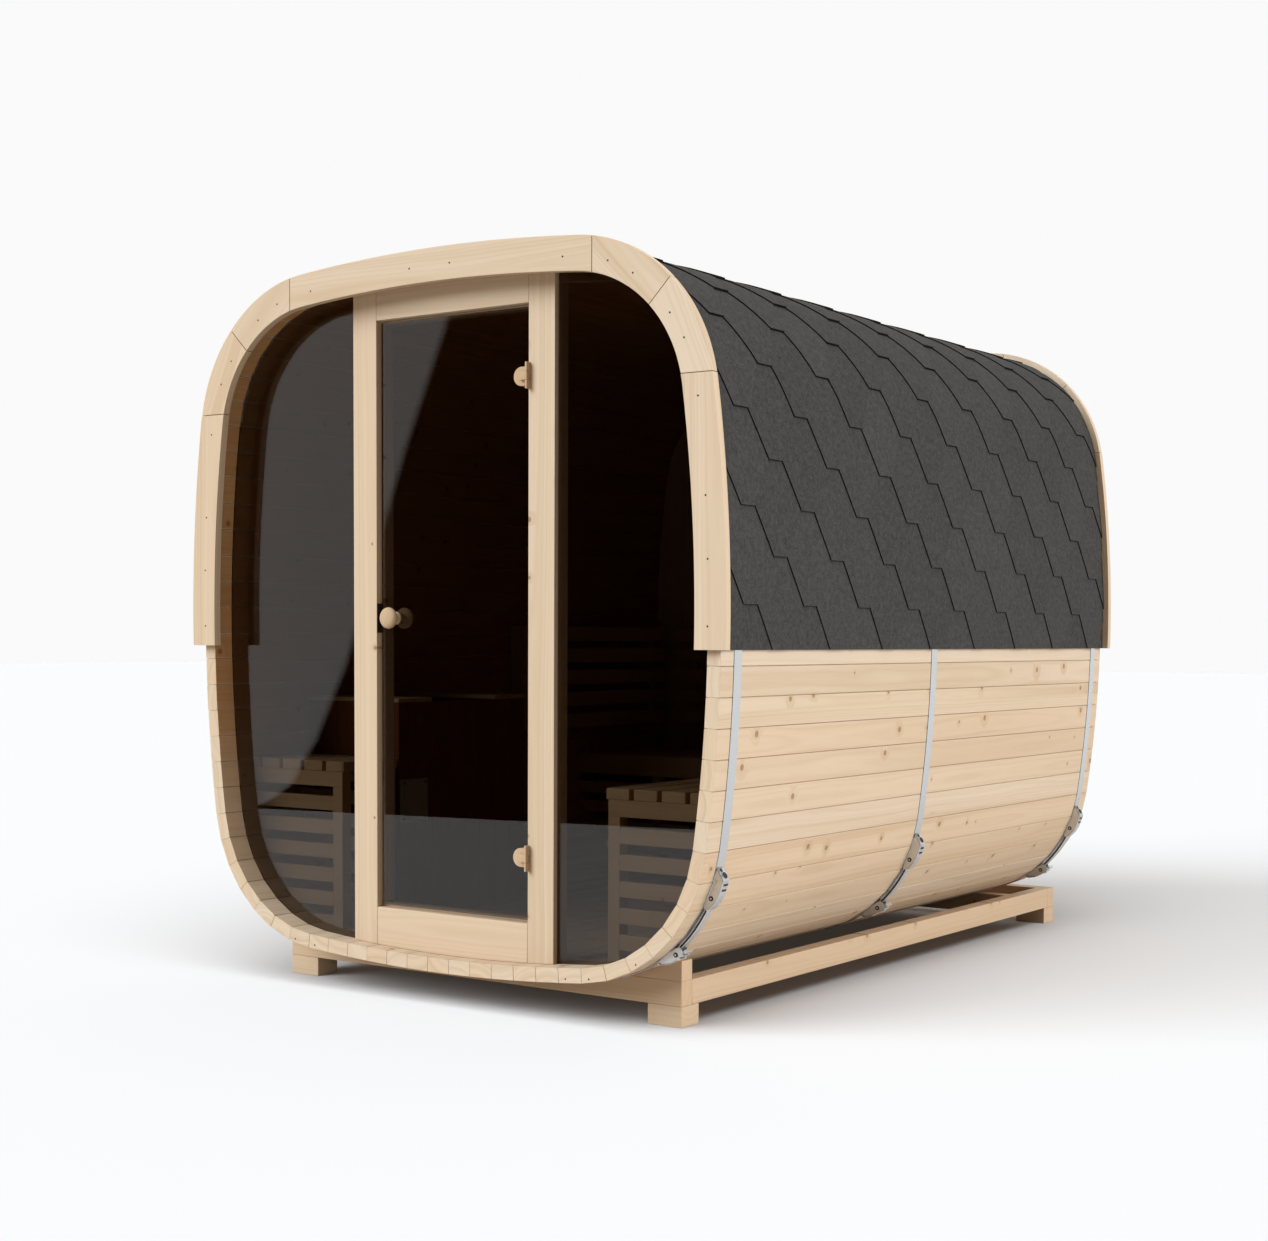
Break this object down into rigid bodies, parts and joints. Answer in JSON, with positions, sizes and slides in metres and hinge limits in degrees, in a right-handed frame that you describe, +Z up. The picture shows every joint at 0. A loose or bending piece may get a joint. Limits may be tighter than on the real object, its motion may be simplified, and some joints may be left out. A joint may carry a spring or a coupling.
{
  "type": "sauna cabin",
  "caption": "Square barrel outdoor sauna cabin of bowed staves on a timber cradle, with a tinted glass front, a hinged glass door, a shingled roof, steel bands and benches.",
  "frame": {"origin": "on the floor, under the middle of the whole cabin and cradle", "axes": "+X to the right seen from the front, +Y to the back wall, +Z up; the glass front faces -Y"},
  "size_m": [2.102, 2.88, 2.296],
  "materials": {
    "spruce": "satin",
    "cradle_spruce": "matte",
    "bench_spruce": "satin",
    "guard_wood": "satin",
    "hinge_wood": "satin",
    "shingles": "granular",
    "tinted_glass": "polished",
    "band_steel": "galvanised",
    "box_metal": "satin"
  },
  "bodies": {
    "cabin": {"floor_shell": "spruce", "ceiling_shell": "spruce", "left_wall_shell": "spruce", "right_wall_shell": "spruce", "low_left_corner_shell": "spruce", "low_right_corner_shell": "spruce", "top_left_corner_shell": "spruce", "top_right_corner_shell": "spruce", "roof_top": "shingles", "roof_left": "shingles", "roof_right": "shingles", "front_trim_top": "spruce", "front_trim_upper_left": "spruce", "front_trim_upper_right": "spruce", "front_trim_lower_left": "spruce", "front_trim_lower_right": "spruce", "front_trim_side_left": "spruce", "front_trim_side_right": "spruce", "back_trim_top": "spruce", "back_trim_left": "spruce", "back_trim_right": "spruce", "door_post_left": "spruce", "door_post_right": "spruce", "door_head": "spruce", "door_sill": "spruce", "left_pane": "tinted_glass", "right_pane": "tinted_glass", "back_wall": "spruce", "front_band": "band_steel", "middle_band": "band_steel", "back_band": "band_steel", "cradle_beams": "cradle_spruce", "cradle_rails": "cradle_spruce", "cradle_feet": "cradle_spruce", "cradle_chocks": "cradle_spruce", "right_bench": "bench_spruce", "left_bench": "bench_spruce", "back_bench": "bench_spruce", "backrests": "bench_spruce", "heater_guard": "guard_wood", "control_box": "box_metal", "frame_hinges": "hinge_wood"},
    "door": {"door_glass": "tinted_glass", "door_hinges": "hinge_wood", "door_knobs": "hinge_wood"}
  },
  "joints": [
    {"name": "door_swing", "type": "hinge", "parent": "cabin", "child": "door", "pos_m": [0.305, -1.368, 0.9], "axis": [0, 0, 1], "range_deg": [0, 100]}
  ]
}
